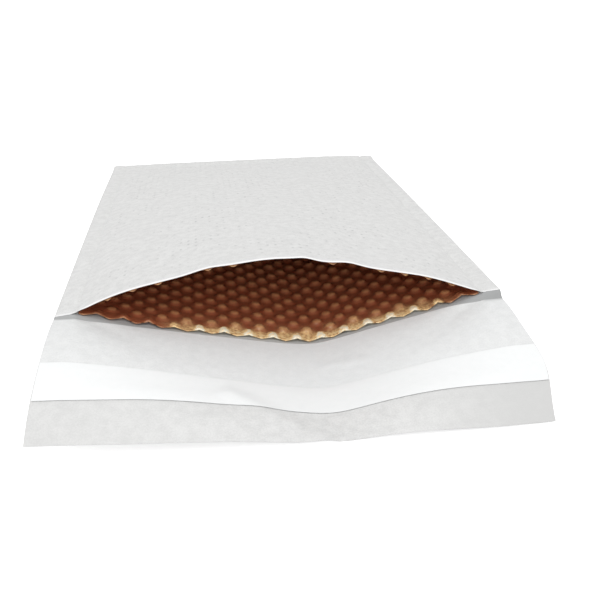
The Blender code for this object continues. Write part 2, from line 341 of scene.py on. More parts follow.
    def along(self, height_at: Callable[[np.ndarray, np.ndarray], np.ndarray],
              u: np.ndarray, t: np.ndarray) -> np.ndarray:
        """Place along Y of a straight sloping panel, so its length stays true.

        Args:
            height_at: The panel's height at places across and distances from the mouth.
            u: Places across.
            t: Distances from the mouth.

        Returns:
            Places along Y, before the envelope is centred.
        """
        top = height_at(u, np.zeros_like(u))
        foot = height_at(u, np.full_like(u, self.slope_length))
        slope = (top - foot) / self.slope_length
        return self.length - (self.length - t) * np.sqrt(1 - slope * slope)

    def turn_radius(self, u: np.ndarray) -> np.ndarray:
        """Half height of the fold at the closed end."""
        end = np.full_like(u, self.length)
        return (self.front_height(u, end) - self.back_height(u, end)) / 2

    def flap_edge(self, u: np.ndarray, q: np.ndarray) -> np.ndarray:
        """Height that the flap would have at the seams, q from the mouth.

        Args:
            u: Places across.
            q: Distances from the mouth, along the flap.

        Returns:
            Heights in metres.
        """
        share = q / self.flap
        lift = self.across(u, *self.flap_lift) * share
        sag = self.across(u, *self.flap_sag) * share ** 2
        ease = self.across(u, *self.flap_ease) * share ** 3
        padded = self.half_thickness(u) * (1 - smooth(q / self.flap_fade))
        inside = smooth((self.seam_line - np.abs(u)) / self.crease_fade)
        eased = smooth(q / (self.crease + (self.crease_spread - self.crease) * inside))
        fall = self.across(u, self.crease_left, self.crease_right) * eased
        start = self.seam_height(u, np.zeros_like(u)) + self.seam_dip(u) * eased
        level = start - padded - fall + lift - sag + ease
        return (level + np.sqrt(level * level + self.flap_touch ** 2)) / 2

    def soft_folds(self, u: np.ndarray, q: np.ndarray) -> np.ndarray:
        """Soft folds in the flap: low ridges round straight lines from one place to another.

        Args:
            u: Places across.
            q: Distances from the mouth, along the flap.

        Returns:
            Rises in metres.
        """
        total = np.zeros(np.broadcast(u, q).shape)
        for (u0, q0), (u1, q1), width, height in self.folds:
            run = math.hypot(u1 - u0, q1 - q0)
            along = ((u - u0) * (u1 - u0) + (q - q0) * (q1 - q0)) / run
            aside = ((u - u0) * (q1 - q0) - (q - q0) * (u1 - u0)) / run
            ends = smooth(along / width) * smooth((run - along) / width)
            total = total + height * np.exp(-(aside / width) ** 2) * ends
        return total

    def flap_height(self, u: np.ndarray, q: np.ndarray) -> np.ndarray:
        """Height of the flap's outer face, q from the mouth.

        Args:
            u: Places across.
            q: Distances from the mouth, along the flap.

        Returns:
            Heights in metres.
        """
        grown = (q / self.flap) ** self.flap_power
        fullness = self.trough_full + (self.flap_full - self.trough_full) * grown
        return self.flap_edge(u, q) * self.trough(u, fullness) + self.soft_folds(u, q)

    def flap_along(self, u: np.ndarray, q: np.ndarray) -> np.ndarray:
        """Distance that the flap covers along Y, by adding up short arcs of true length.

        Args:
            u: One place across per column.
            q: Distance from the mouth, rows by columns.

        Returns:
            Rows by columns of distances.
        """
        step = self.arc_step
        marks = np.arange(0, int(self.flap / step) + 3) * step
        heights = self.flap_height(u[None, :], np.minimum(marks, self.flap * 1.02)[:, None])
        slopes = np.diff(heights, axis=0) / step
        reach = np.sqrt(np.maximum(1 - slopes * slopes, 0.0)) * step
        reach = np.concatenate([np.zeros((1, len(u))), np.cumsum(reach, axis=0)])
        place = np.clip(q / step, 0, len(marks) - 1.001)
        low = place.astype(int)
        part = place - low
        columns = np.broadcast_to(np.arange(len(u)), q.shape)
        return reach[low, columns] * (1 - part) + reach[low + 1, columns] * part

    def lay(self, us: np.ndarray, ss: np.ndarray, depth: np.ndarray) -> np.ndarray:
        """Lay a grid on the web.

        Args:
            us: Places across, one per column.
            ss: Places along the web, one per row or rows by columns.
            depth: Rows by columns of distances inside the outer face.

        Returns:
            Rows by columns of points in the row frame.
        """
        u = np.broadcast_to(us[None, :], depth.shape).astype(float)
        s = np.broadcast_to(ss if ss.ndim == 2 else ss[:, None], depth.shape).astype(float)
        radius = self.turn_radius(us)
        start = np.broadcast_to((self.half_web - math.pi / 2 * radius)[None, :], s.shape)
        on_flap = s > self.mouth
        on_back = (s > self.mouth - start) & ~on_flap
        on_front = s < start
        t = np.where(on_front, s, np.clip(self.mouth - s, 0.0, None))
        q = np.clip(s - self.mouth, 0.0, None)

        front_x = self.drawn_in(u, self.seam_height(u, t) - self.cushion)
        front_y = self.along(self.front_height, u, t)
        front_z = self.front_height(u, t) - depth
        back_y = self.along(self.back_height, u, t)
        back_z = self.back_height(u, t) + depth

        zero = np.zeros_like(u)
        drop = self.flap_edge(u, q) - self.flap_edge(u, zero)
        flap_x = self.drawn_in(u, np.maximum(self.seam_height(u, zero) - self.cushion + drop, 0))
        right = np.maximum(u / self.half_width, 0.0)
        flap_x = flap_x - u * self.flap_drawn_in * right * (q / self.flap) ** 2
        corner = smooth((u - self.right_start) / (self.half_width - self.right_start))
        flap_x = flap_x + self.right_bulge * corner * bell(q, *self.bulge_at)
        flap_x = flap_x - self.right_tuck * corner * (q / self.flap) ** 5
        flap_y = self.along(self.back_height, u, zero) - self.flap_along(us, q)
        flap_y = flap_y - self.right_reach * corner * (q / self.flap) ** 3
        flap_z = self.flap_height(u, q) + depth

        turn = math.pi * (s - start) / (self.mouth - 2 * start)
        inner = np.broadcast_to(radius[None, :], s.shape) - depth
        end = np.full_like(u, self.length)
        turn_y = start + inner * np.sin(turn)
        turn_z = self.back_height(u, end) + radius[None, :] + inner * np.cos(turn)

        parts = [on_front, on_back, on_flap]
        x = np.select(parts, [front_x, front_x, flap_x], u)
        y = np.select(parts, [front_y, back_y, flap_y], turn_y)
        z = np.select(parts, [front_z, back_z, flap_z], turn_z)
        return np.stack([x, y - self.origin_y, z], axis=-1)

    def edge_hump(self, u: np.ndarray) -> np.ndarray:
        """Where the lining's cut edge sags over the mouth line, 0 to 1."""
        (left, rise), (right, fall) = self.hump_left, self.hump_right
        return smooth((u + left) / rise) * smooth((right - u) / fall)

    def turn_rows(self, count: int) -> np.ndarray:
        """Lines round the fold, closer at its middle where the seams turn sharply.

        Args:
            count: Number of lines on either side of the middle.

        Returns:
            Places along the web.
        """
        spread = np.linspace(-1, 1, 2 * count + 1)
        spread = np.sign(spread) * np.abs(spread) ** self.turn_gather
        return self.half_web + spread * math.pi / 2 * self.cushion

    def panel_rows(self, start: float, step: float) -> np.ndarray:
        """Lines along one panel from a start up to the fold.

        Args:
            start: The first line's place along the web.
            step: Distance between two lines, about.

        Returns:
            Places along the web.
        """
        end = self.half_web - math.pi / 2 * self.cushion
        count = max(int(round((end - start) / step)), 1)
        return start + (end - start) * np.arange(count) / count


# Meshes


def link_mesh(name: str, points: np.ndarray, faces: list[list[int]],
              uv: np.ndarray | None = None) -> bpy.types.Object:
    """Make a smooth mesh object.

    Args:
        name: The piece's name.
        points: Points, one row each.
        faces: Point numbers of each face.
        uv: One pair a point: places across and along the web, in decimetres.

    Returns:
        The linked object.
    """
    mesh = bpy.data.meshes.new(name)
    mesh.from_pydata(points.tolist(), [], faces)
    mesh.update()
    if uv is not None:
        corners = np.empty(len(mesh.loops), dtype=np.int32)
        mesh.loops.foreach_get("vertex_index", corners)
        layer = mesh.uv_layers.new(name=UV_NAME)
        layer.data.foreach_set("uv", uv[corners].astype(np.float32).ravel())
    mesh.shade_smooth()
    piece = bpy.data.objects.new(name, mesh)
    bpy.context.scene.collection.objects.link(piece)
    return piece


def set_values(piece: bpy.types.Object, name: str, values: np.ndarray) -> None:
    """Store one number a point under a name that a finish can read."""
    layer = piece.data.attributes.new(name, "FLOAT", "POINT")
    layer.data.foreach_set("value", values.astype(np.float32).ravel())


def grid_faces(rows: int, columns: int, closed: bool = False) -> list[list[int]]:
    """Quads of a grid, wound so that u then s gives the outward side.

    Args:
        rows: Number of rows.
        columns: Number of columns.
        closed: Whether the last column joins the first.

    Returns:
        Four point numbers a face.
    """
    last = columns if closed else columns - 1
    j, i = np.meshgrid(np.arange(rows - 1), np.arange(last), indexing="ij")
    k = (i + 1) % columns
    quads = [j * columns + i, j * columns + k, (j + 1) * columns + k, (j + 1) * columns + i]
    return np.stack(quads, axis=-1).reshape(-1, 4).tolist()


def web_uv(us: np.ndarray, ss: np.ndarray) -> np.ndarray:
    """Places on the web as a UV map, in decimetres.

    Args:
        us: Places across, one per column.
        ss: Places along the web, one per row or rows by columns.

    Returns:
        One pair a point.
    """
    s = ss if ss.ndim == 2 else np.broadcast_to(ss[:, None], (len(ss), len(us)))
    u = np.broadcast_to(us[None, :], s.shape)
    return np.stack([u.ravel() * UV_SCALE + UV_SHIFT, s.ravel() * UV_SCALE], axis=-1)


def thicken(piece: bpy.types.Object, thickness: float) -> None:
    """Give an open surface its thickness on the side away from its normals.

    Args:
        piece: The open surface.
        thickness: Its thickness in metres.
    """
    solid = piece.modifiers.new("Thickness", "SOLIDIFY")
    solid.thickness = thickness
    solid.offset = -1.0
    even = piece.modifiers.new("Even shading", "WEIGHTED_NORMAL")
    even.weight = 100


# Finishes


def add_node(tree: bpy.types.NodeTree, kind: str, settings: dict | None = None,
             links: dict | None = None) -> bpy.types.Node:
    """Add a node with its settings and links.

    Args:
        tree: The material's or world's tree.
        kind: The node's type.
        settings: Node attributes, or input values when the key is no attribute.
        links: Input name or number to the output socket that feeds it.

    Returns:
        The new node.
    """
    node = tree.nodes.new(kind)
    for key, value in (settings or {}).items():
        if isinstance(key, str) and hasattr(node, key):
            setattr(node, key, value)
        else:
            node.inputs[key].default_value = value
    for key, socket in (links or {}).items():
        tree.links.new(socket, node.inputs[key])
    return node


def new_material(name: str, roughness: float,
                 ior: float) -> tuple[bpy.types.Material, bpy.types.NodeTree, bpy.types.Node]:
    """Start a material with one Principled shader on its output.

    Args:
        name: The material's name.
        roughness: Its roughness.
        ior: Its index of refraction.

    Returns:
        The material, its tree and its shader.
    """
    material = bpy.data.materials.new(name)
    material.use_nodes = True
    tree = material.node_tree
    tree.nodes.clear()
    shader = add_node(tree, "ShaderNodeBsdfPrincipled", {"Roughness": roughness, "IOR": ior})
    add_node(tree, "ShaderNodeOutputMaterial", links={"Surface": shader.outputs["BSDF"]})
    return material, tree, shader


def finish_surface(tree: bpy.types.NodeTree, shader: bpy.types.Node, colour: bpy.types.NodeSocket,
                   relief: bpy.types.NodeSocket, strength: float, depth: float) -> None:
    """Feed the shader its colour and its fine relief.

    Args:
        tree: The material's tree.
        shader: Its shader.
        colour: The colour's socket.
        relief: The relief's socket.
        strength: How strongly the relief shows, 0 to 1.
        depth: Depth of the relief in metres.
    """
    tree.links.new(colour, shader.inputs["Base Color"])
    settings = {"Strength": strength, "Distance": depth}
    bump = add_node(tree, "ShaderNodeBump", settings, {"Height": relief})
    tree.links.new(bump.outputs[0], shader.inputs["Normal"])


@dataclass(frozen=True)
class MattWhiteFilm:
    """Matt white polyethylene film, cast and embossed: soft, even, faintly mottled.

    Mottling and grain are pairs: waves a metre and levels of detail.
    """

    lattice: Lattice
    light: str = "E9E9E8"
    dark: str = "DADAD9"
    # Painted highlight: the edge tone whitens the front panel's rolled free edge
    edge: str = "FFFFFF"
    # Painted shade: grey is the painted shadow under the mouth and the painted shade in the pits
    grey: str = "A6A7A7"
    # Painted light: the inner tone whitens the flap near the mouth
    inner: str = "F8FBFC"
    # Painted shade: the far tone dulls the flap towards its end and its right side
    far: str = "D2D2D1"
    roughness: float = 0.55
    ior: float = 1.5
    mottling: tuple[float, float] = (260.0, 4.0)
    grain: tuple[float, float] = (1500.0, 2.0)
    tone_range: tuple[float, float] = (0.75, 1.25)
    pit_size: float = 0.24
    pit_chance: tuple[float, float] = (0.45, 0.90)
    pit_tone: float = 0.80
    pit_relief: float = 1.6
    relief: float = 0.22
    relief_depth: float = 0.0003

    def pits(self, tree: bpy.types.NodeTree) -> bpy.types.NodeSocket:
        """Small pits over the valleys of the lining: some points of a close lattice.

        Args:
            tree: The material's tree.

        Returns:
            The pits' socket, 0 to 1.
        """
        place = add_node(tree, "ShaderNodeUVMap", {"uv_map": UV_NAME}).outputs[0]
        axes = add_node(tree, "ShaderNodeSeparateXYZ", links={0: place})
        # Three cells a pitch across and two along
        cells_across = 3 / (self.lattice.pitch_u * UV_SCALE)
        cells_along = 2 / (self.lattice.pitch_s * UV_SCALE)
        first = -cells_along * self.lattice.first_row * UV_SCALE
        column = add_node(tree, "ShaderNodeMath", {"operation": "MULTIPLY", 1: cells_across},
                          {0: axes.outputs[0]})
        row = add_node(tree, "ShaderNodeMath",
                       {"operation": "MULTIPLY_ADD", 1: cells_along, 2: first},
                       {0: axes.outputs[1]})
        cell = add_node(tree, "ShaderNodeCombineXYZ",
                        links={0: column.outputs[0], 1: row.outputs[0]})
        points = add_node(tree, "ShaderNodeTexVoronoi",
                          {"voronoi_dimensions": "2D", "Scale": 1.0, "Randomness": 0.0},
                          {"Vector": cell.outputs[0]})
        near = add_node(tree, "ShaderNodeMapRange",
                        {"From Max": self.pit_size, "To Min": 1.0, "To Max": 0.0},
                        {"Value": points.outputs["Distance"]})
        chance = add_node(tree, "ShaderNodeSeparateColor", links={0: points.outputs["Color"]})
        start, end = self.pit_chance
        some = add_node(tree, "ShaderNodeMapRange", {"From Min": start, "From Max": end},
                        {"Value": chance.outputs[0]})
        padded = add_node(tree, "ShaderNodeAttribute", {"attribute_name": "padded"})
        pits = near.outputs[0]
        for share in (some.outputs[0], padded.outputs["Fac"]):
            pits = add_node(tree, "ShaderNodeMath", {"operation": "MULTIPLY"},
                            {0: pits, 1: share}).outputs[0]
        return pits

    def make(self) -> bpy.types.Material:
        """Build the material.

        Returns:
            The finished material.
        """
        material, tree, shader = new_material("matt_white_polyethylene_film",
                                              self.roughness, self.ior)
        place = add_node(tree, "ShaderNodeTexCoord").outputs["Object"]
        # Mottling a few millimetres across, as recycled film has, with a finer grain
        clouds = [add_node(tree, "ShaderNodeTexNoise", {"Scale": scale, "Detail": detail},
                           {"Vector": place}).outputs[0]
                  for scale, detail in (self.mottling, self.grain)]
        mottled = add_node(tree, "ShaderNodeMath", {"operation": "ADD"}, dict(enumerate(clouds)))
        start, end = self.tone_range
        tone = add_node(tree, "ShaderNodeMapRange", {"From Min": start, "From Max": end},
                        {"Value": mottled.outputs[0]})
        colour = add_node(tree, "ShaderNodeMix",
                          {"data_type": "RGBA", 6: linear(self.dark), 7: linear(self.light)},
                          {0: tone.outputs[0]})
        pits = self.pits(tree)
        # Painted shade: the pits darken the film towards grey
        painted_pit_shade = add_node(tree, "ShaderNodeMath", {"operation": "MULTIPLY", 1: self.pit_tone},
                          {0: pits})
        # Painted light and shade over the film's own tone: a highlight on the lip, light near the
        # mouth and shade at the end of the flap, and a shadow under the mouth
        tones = {"inner": self.inner, "far": self.far, "cut": self.edge, "painted_shadow": self.grey}
        layers = [(add_node(tree, "ShaderNodeAttribute", {"attribute_name": name}).outputs["Fac"],
                   over) for name, over in tones.items()]
        for share, over in [*layers, (painted_pit_shade.outputs[0], self.grey)]:
            colour = add_node(tree, "ShaderNodeMix", {"data_type": "RGBA", 7: linear(over)},
                              {0: share, 6: colour.outputs[2]})
        relief = add_node(tree, "ShaderNodeMath",
                          {"operation": "MULTIPLY_ADD", 1: -self.pit_relief},
                          {0: pits, 2: mottled.outputs[0]})
        finish_surface(tree, shader, colour.outputs[2], relief.outputs[0],
                       self.relief, self.relief_depth)
        return material


@dataclass(frozen=True)
class BrownBubbleFilm:
    """Brown tinted polyethylene bubble film: glossy, and pale where light enters its edge.

    Clouding and crinkling are pairs: waves a metre and levels of detail.
    """

    deep: str = "7A4030"
    mid: str = "A86042"
    # Painted light: the crown tone lightens the bubbles' tops
    painted_crown_light: str = "D69A6A"
    # Painted light: the far tone lightens the film deeper inside the mouth
    far: str = "B66E4C"
    tan: str = "FFDA9C"
    cream: str = "FFF6DC"
    roughness: float = 0.32
    ior: float = 1.5
    coat: float = 0.25
    coat_roughness: float = 0.15
    clouding: tuple[float, float] = (180.0, 3.0)
    crinkling: tuple[float, float] = (640.0, 5.0)
    crinkle_gain: tuple[float, float] = (0.45, 1.45)
    crown_range: tuple[float, float] = (0.45, 0.95)
    cloud_range: tuple[float, float] = (0.3, 0.7)
    cloud_share: float = 0.3
    full_tan: float = 0.45
    relief: float = 0.2
    relief_depth: float = 0.0004

    def make(self) -> bpy.types.Material:
        """Build the material.

        Returns:
            The finished material.
        """
        material, tree, shader = new_material("brown_polyethylene_bubble_film",
                                              self.roughness, self.ior)
        shader.inputs["Coat Weight"].default_value = self.coat
        shader.inputs["Coat Roughness"].default_value = self.coat_roughness
        place = add_node(tree, "ShaderNodeTexCoord").outputs["Object"]
        rise, glow, inner = (
            add_node(tree, "ShaderNodeAttribute", {"attribute_name": name}).outputs["Fac"]
            for name in ("rise", "glow", "inner"))
        cloud, crinkle = (
            add_node(tree, "ShaderNodeTexNoise", {"Scale": scale, "Detail": detail},
                     {"Vector": place}).outputs[0]
            for scale, detail in (self.clouding, self.crinkling))
        # The crinkled cut film takes the light unevenly
        least, most = self.crinkle_gain
        gain = add_node(tree, "ShaderNodeMapRange",
                        {"From Min": 0.35, "From Max": 0.65, "To Min": least, "To Max": most},
                        {"Value": crinkle})
        uneven = add_node(tree, "ShaderNodeMath", {"operation": "MULTIPLY"},
                          {0: glow, 1: gain.outputs[0]}).outputs[0]
        # Painted light: the film turns from the mid tone near the mouth to the lighter far tone
        # deeper inside
        colour = add_node(tree, "ShaderNodeMix",
                          {"data_type": "RGBA", 6: linear(self.mid), 7: linear(self.far)},
                          {0: inner})
        # Each tone goes over the ones before, by a share that grows over a range of its source
        # Painted light: the crown tone lightens the bubbles' tops by their rise
        layers = (
            (self.painted_crown_light, rise, self.crown_range, 1.0),
            (self.deep, cloud, self.cloud_range, self.cloud_share),
            (self.tan, uneven, (0.0, self.full_tan), 1.0),
            (self.cream, uneven, (self.full_tan, 1.0), 1.0))
        for over, source, (start, end), most in layers:
            share = add_node(tree, "ShaderNodeMapRange",
                             {"From Min": start, "From Max": end, "To Max": most},
                             {"Value": source})
            colour = add_node(tree, "ShaderNodeMix", {"data_type": "RGBA", 7: linear(over)},
                              {0: share.outputs[0], 6: colour.outputs[2]})
        finish_surface(tree, shader, colour.outputs[2], cloud, self.relief, self.relief_depth)
        return material


@dataclass(frozen=True)
class CloudedFinish:
    """A plain finish of two close tones, with the same clouds in its fine relief.

    Clouding is a pair: waves a metre and levels of detail.
    """

    name: str
    light: str
    shade: str
    roughness: float
    ior: float
    clouding: tuple[float, float]
    relief: float
    relief_depth: float = 0.0003

    def make(self) -> bpy.types.Material:
        """Build the material.

        Returns:
            The finished material.
        """
        material, tree, shader = new_material(self.name, self.roughness, self.ior)
        place = add_node(tree, "ShaderNodeTexCoord").outputs["Object"]
        scale, detail = self.clouding
        cloud = add_node(tree, "ShaderNodeTexNoise", {"Scale": scale, "Detail": detail},
                         {"Vector": place}).outputs[0]
        colour = add_node(tree, "ShaderNodeMix",
                          {"data_type": "RGBA", 6: linear(self.light), 7: linear(self.shade)},
                          {0: cloud})
        finish_surface(tree, shader, colour.outputs[2], cloud, self.relief, self.relief_depth)
        return material


@dataclass(frozen=True)
class ReleasePaper(CloudedFinish):
    """White paper with a silicone coat: smooth, bright and faintly glossy."""

    name: str = "siliconised_release_paper"
    light: str = "FBFCFC"
    shade: str = "F4F6F6"
    roughness: float = 0.42
    ior: float = 1.45
    clouding: tuple[float, float] = (320.0, 4.0)
    relief: float = 0.06


@dataclass(frozen=True)
class ClearGlue(CloudedFinish):
    """Clear hot-melt glue, cast in a thin strip: glossy, with a slight cream tint."""

    name: str = "clear_hot_melt_glue"
    light: str = "E9E4D6"
    shade: str = "DCD6C4"
    roughness: float = 0.18
    ior: float = 1.49
    clouding: tuple[float, float] = (400.0, 3.0)
    relief: float = 0.3


# The pieces


@dataclass
class OuterSheet:
    """The white film: front panel, fold, back panel and flap in one piece.

    margin_lines are shares of the margin and lip_lines are lengths. white_middle is a
    centre and a width. The pairs named share, and shadow_below, are a value everywhere and
    what is added where it is most. The other pairs are a start and a width.
    """

    web: FoldedWeb
    lattice: Lattice
    thickness: float = 0.00013
    step_u: float = 0.0017
    step_s: float = 0.0021
    pit_depth: float = 0.00012
    pit_radius: float = 0.0016
    crease_depth: float = 0.0005
    crease_width: float = 0.0008
    pinch_reach: float = 0.004
    lip_roll: float = 0.0005
    lip_length: float = 0.0013
    rim_width: float = 0.0016
    # Painted shadow: these set the grey strip under the mouth's corners and below the lining's edge
    shadow_left: float = 0.88
    shadow_right: float = 1.0
    shadow_reach_left: float = 0.075
    shadow_reach_right: float = 0.026
    shadow_bend: float = 1.2
    shadow_below: tuple[float, float] = (0.0016, 0.0018)
    shadow_above: float = 0.004
    shadow_soft: float = 0.0005
    shadow_fade: float = 0.15
    margin_lines: tuple[float, ...] = (0.04, 0.12, 0.3, 0.6, 0.84, 0.92, 1.0)
    lip_lines: tuple[float, ...] = (0.0, 0.0004, 0.0009, 0.0015)
    crease_rows: int = 12
    turn_rows: int = 7
    pits_from_mouth: float = 0.004
    pits_from_seam: float = 0.002
    corner_width: float = 0.002
    roll_fade: float = 0.006
    white_middle: tuple[float, float] = (0.013, 0.060)
    white_share: tuple[float, float] = (0.28, 0.30)
    white_end: tuple[float, float] = (0.040, 0.022)
    dull_start: tuple[float, float] = (0.050, 0.012)
    dull_share: tuple[float, float] = (0.40, 0.50)
    dull_right: tuple[float, float] = (0.03, 0.07)

    def columns(self) -> np.ndarray:
        """Lines across the sheet, with a pair at each seam's crease.

        Returns:
            Places across.
        """
        web = self.web
        count = int(round(2 * web.seam_line / self.step_u))
        inner = np.linspace(-web.seam_line, web.seam_line, count + 1)
        side = web.seam_line + web.margin * np.array(self.margin_lines)
        return np.concatenate([-side[::-1], inner, side])

    def rows(self) -> np.ndarray:
        """Lines along the sheet, from the front's free edge to the flap's.

        Returns:
            Places along the web.
        """
        web = self.web
        panel = web.panel_rows(0.0, self.step_s)
        front = np.unique(np.concatenate([self.lip_lines, panel]))
        crease = np.linspace(0, web.crease, self.crease_rows)
        flap = np.linspace(web.crease, web.flap, int((web.flap - web.crease) / self.step_s) + 1)
        flap = web.mouth + np.concatenate([crease, flap[1:]])
        turn = web.turn_rows(self.turn_rows)
        return np.concatenate([front, turn, (web.mouth - panel)[::-1], flap[1:]])

    def depth(self, us: np.ndarray, ss: np.ndarray) -> np.ndarray:
        """Depth of the outer face: pits, creases, pinched rims and the turned lip.

        Each pit is a bell curve at a point of the bubbles' lattice, with none on the seams
        and the flap. The creases are narrow bell curves along the seam lines. The two
        panels are pinched together at the side rims and at the mouth's corners.

        Args:
            us: Places across, one per column.
            ss: Places along the web, one per row.

        Returns:
            Rows by columns of depths.
        """
        web = self.web
        u, s = np.meshgrid(us, ss)
        t = np.minimum(s, web.mouth - s)
        padded = (t > self.pits_from_mouth) & (np.abs(u) < web.seam_line - self.pits_from_seam)
        row = self.lattice.row(t)
        du, dt = self.lattice.offset(u, t, row)
        wobble = 0.6 + 0.4 * np.sin(row * 1.7 + u * 211.0) * np.sin(row * 0.61 - u * 97.0)
        pits = self.pit_depth * wobble * np.exp(-(du * du + dt * dt) / self.pit_radius ** 2)
        depth = np.where(padded, pits, 0.0)
        crease_line = web.seam_line + self.crease_width / 2
        crease = self.crease_depth * bell(np.abs(u), crease_line, self.crease_width)
        rim = smooth((np.abs(u) - web.half_width + self.rim_width) / self.rim_width)
        from_mouth = np.minimum(s, np.abs(s - web.mouth))
        corner = smooth((np.abs(u) - web.seam_line) / self.corner_width)
        corner = corner * (1 - smooth(from_mouth / self.pinch_reach))
        pinch = (web.seam_half - self.thickness) * np.maximum(rim * (t > 0.0), corner)
        depth = depth + np.where(t > 0.0, crease, 0.0) + pinch
        roll = np.clip(1 - s / self.lip_length, 0.0, 1.0) ** 2
        inside = smooth((web.seam_line - np.abs(u)) / self.roll_fade)
        return depth + self.lip_roll * roll * inside

    def flap_light_and_shade(self, us: np.ndarray, ss: np.ndarray) -> tuple[np.ndarray, np.ndarray]:
        """Painted light and shade on the flap's inner face: whiter near the mouth, duller at its
        end.

        Args:
            us: Places across, one per column.
            ss: Places along the web, one per row.

        Returns:
            Rows by columns of shares of the painted light and of the painted shade.
        """
        u, s = np.meshgrid(us, ss)
        q = s - self.web.mouth
        middle = bell(u, *self.white_middle)
        start, width = self.white_end
        near = smooth((q + 0.001) / 0.002) * (1 - smooth((q - start) / width))
        everywhere, more = self.white_share
        white = (everywhere + more * middle) * near
        start, width = self.dull_right
        everywhere, more = self.dull_share
        dull = everywhere + more * smooth((u - start) / width) - everywhere * middle
        start, width = self.dull_start
        return white, np.clip(dull, 0.0, 1.0) * smooth((q - start) / width)

    def padded(self, us: np.ndarray, ss: np.ndarray) -> np.ndarray:
        """Where the sheet lies on the lining, 0 to 1, in uneven patches.

        Args:
            us: Places across, one per column.
            ss: Places along the web, one per row.

        Returns:
            Rows by columns of shares.
        """
        u, s = np.meshgrid(us, ss)
        t = np.minimum(s, self.web.mouth - s)
        inside = smooth((t - 0.003) / 0.003)
        inside = inside * smooth((self.web.seam_line - 0.004 - np.abs(u)) / 0.004)
        patches = 0.55 + 0.45 * np.sin(u * 83.0 + 2 * np.sin(s * 41.0)) * np.sin(s * 67.0 + 1.0)
        return inside * patches

    def painted_shadow(self, us: np.ndarray, ss: np.ndarray) -> np.ndarray:
        """Where a shadow is painted on the creased strip under the mouth, 0 to 1.

        The painted shadow runs from the mouth line to the strip's crease. Its crease comes
        nearer the mouth line from each seam inwards, and the shadow goes on thinly below the
        lining's edge. It is darker at the right end than at the left.

        Args:
            us: Places across, one per column.
            ss: Places along the web, one per row.

        Returns:
            Rows by columns of shares.
        """
        web = self.web
        u, s = np.meshgrid(us, ss)
        q = s - web.mouth
        reach = np.where(u < 0, self.shadow_reach_left, self.shadow_reach_right)
        inwards = np.clip((web.seam_line - np.abs(u)) / reach, 0.0, 1.0)
        below, more = self.shadow_below
        below_edge = below + more * web.edge_hump(u)
        end = web.crease * (1 - inwards) ** self.shadow_bend + below_edge * inwards
        inside = smooth((end - q) / self.shadow_soft + 0.5) * smooth((q + self.shadow_above) / 0.001)
        tone = np.where(u < 0, self.shadow_left, self.shadow_right)
        return inside * tone * (1 - self.shadow_fade * smooth((inwards - 0.5) / 0.5))

    def build(self, film: bpy.types.Material) -> bpy.types.Object:
        """Make the sheet.

        Args:
            film: Its finish.

        Returns:
            The piece.
        """
        us, ss = self.columns(), self.rows()
        points = self.web.lay(us, ss, self.depth(us, ss)).reshape(-1, 3)
        piece = link_mesh("white_film_sheet", points, grid_faces(len(ss), len(us)), web_uv(us, ss))
        # Painted highlight: the cut share whitens the front panel's rolled free edge
        cut = np.clip(1.2 - ss / self.lip_length, 0.0, 1.0)[:, None]
        # Painted light and shade on the flap: inner whitens it near the mouth, far dulls it towards
        # its end
        inner, far = self.flap_light_and_shade(us, ss)
        # Painted shadow: the grey share in these tones shades the strip under the mouth
        tones = {"cut": np.broadcast_to(cut, inner.shape), "painted_shadow": self.painted_shadow(us, ss),
                 "padded": self.padded(us, ss), "inner": inner, "far": far}
        for name, values in tones.items():
            set_values(piece, name, values)
        thicken(piece, self.thickness)
        piece.data.materials.append(film)
        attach(piece, "root")
        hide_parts("outer_sheet")
        return piece


